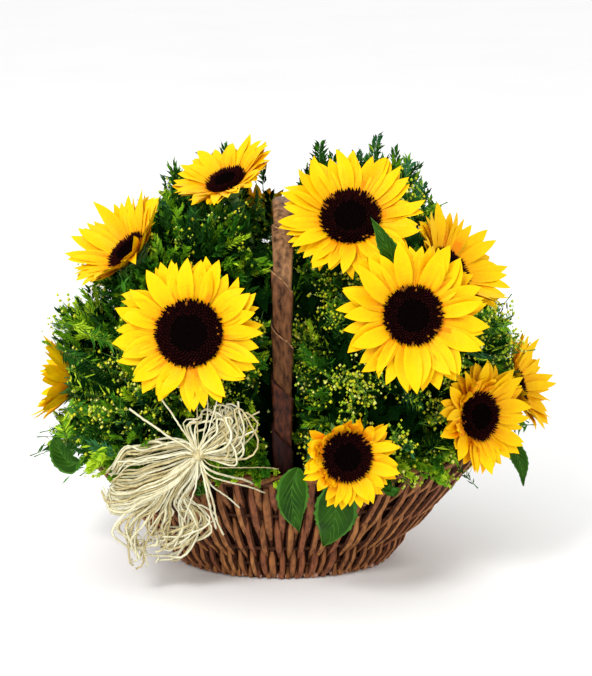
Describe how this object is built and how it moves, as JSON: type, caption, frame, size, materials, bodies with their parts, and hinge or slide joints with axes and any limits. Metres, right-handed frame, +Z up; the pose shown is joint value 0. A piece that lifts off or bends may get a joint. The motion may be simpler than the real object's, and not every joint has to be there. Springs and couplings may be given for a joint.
{
  "type": "basket arrangement of cut sunflowers",
  "caption": "Oval wicker basket of cut sunflowers with leafy filler greens, a wrapped hoop handle and a raffia bow.",
  "frame": {"origin": "middle of the basket's flat underside, at the level it stands on", "axes": "+X to the right along the basket's long side, +Z up, and the basket's front faces -Y"},
  "size_m": [0.4703, 0.3417, 0.3873],
  "materials": {
    "wicker": "satin",
    "handle_wrap": "satin",
    "foam": "matte",
    "stem": "satin",
    "petal": "satin",
    "seed_disc": "matte",
    "leaf": "satin",
    "foliage": "satin",
    "raffia": "satin"
  },
  "bodies": {
    "root": {"basket": "wicker", "basket_border": "wicker", "handle": "handle_wrap", "foam_block": "foam", "stem_1": "stem", "bloom_1_petals": "petal", "bloom_1_disc": "seed_disc", "stem_2": "stem", "bloom_2_petals": "petal", "bloom_2_disc": "seed_disc", "stem_3": "stem", "bloom_3_petals": "petal", "bloom_3_disc": "seed_disc", "stem_4": "stem", "bloom_4_petals": "petal", "bloom_4_disc": "seed_disc", "stem_5": "stem", "bloom_5_petals": "petal", "bloom_5_disc": "seed_disc", "stem_6": "stem", "bloom_6_petals": "petal", "bloom_6_disc": "seed_disc", "stem_7": "stem", "bloom_7_petals": "petal", "bloom_7_disc": "seed_disc", "stem_8": "stem", "bloom_8_petals": "petal", "bloom_8_disc": "seed_disc", "stem_9": "stem", "bloom_9_petals": "petal", "bloom_9_disc": "seed_disc", "stem_10": "stem", "bloom_10_petals": "petal", "bloom_10_disc": "seed_disc", "stem_11": "stem", "bloom_11_petals": "petal", "bloom_11_disc": "seed_disc", "stem_12": "stem", "bloom_12_petals": "petal", "bloom_12_disc": "seed_disc", "stem_13": "stem", "bloom_13_petals": "petal", "bloom_13_disc": "seed_disc", "foliage_front_left": "foliage", "foliage_front_right": "foliage", "foliage_left": "foliage", "foliage_right": "foliage", "foliage_top_left": "foliage", "foliage_top_right": "foliage", "foliage_back_left": "foliage", "foliage_back_right": "foliage", "leaf_front_left": "leaf", "leaf_front_right": "leaf", "leaf_middle": "leaf", "leaf_left": "leaf", "leaf_right": "leaf", "bow_loop_left": "raffia", "bow_loop_right": "raffia", "bow_tail_left": "raffia", "bow_knot": "raffia"}
  },
  "joints": []
}
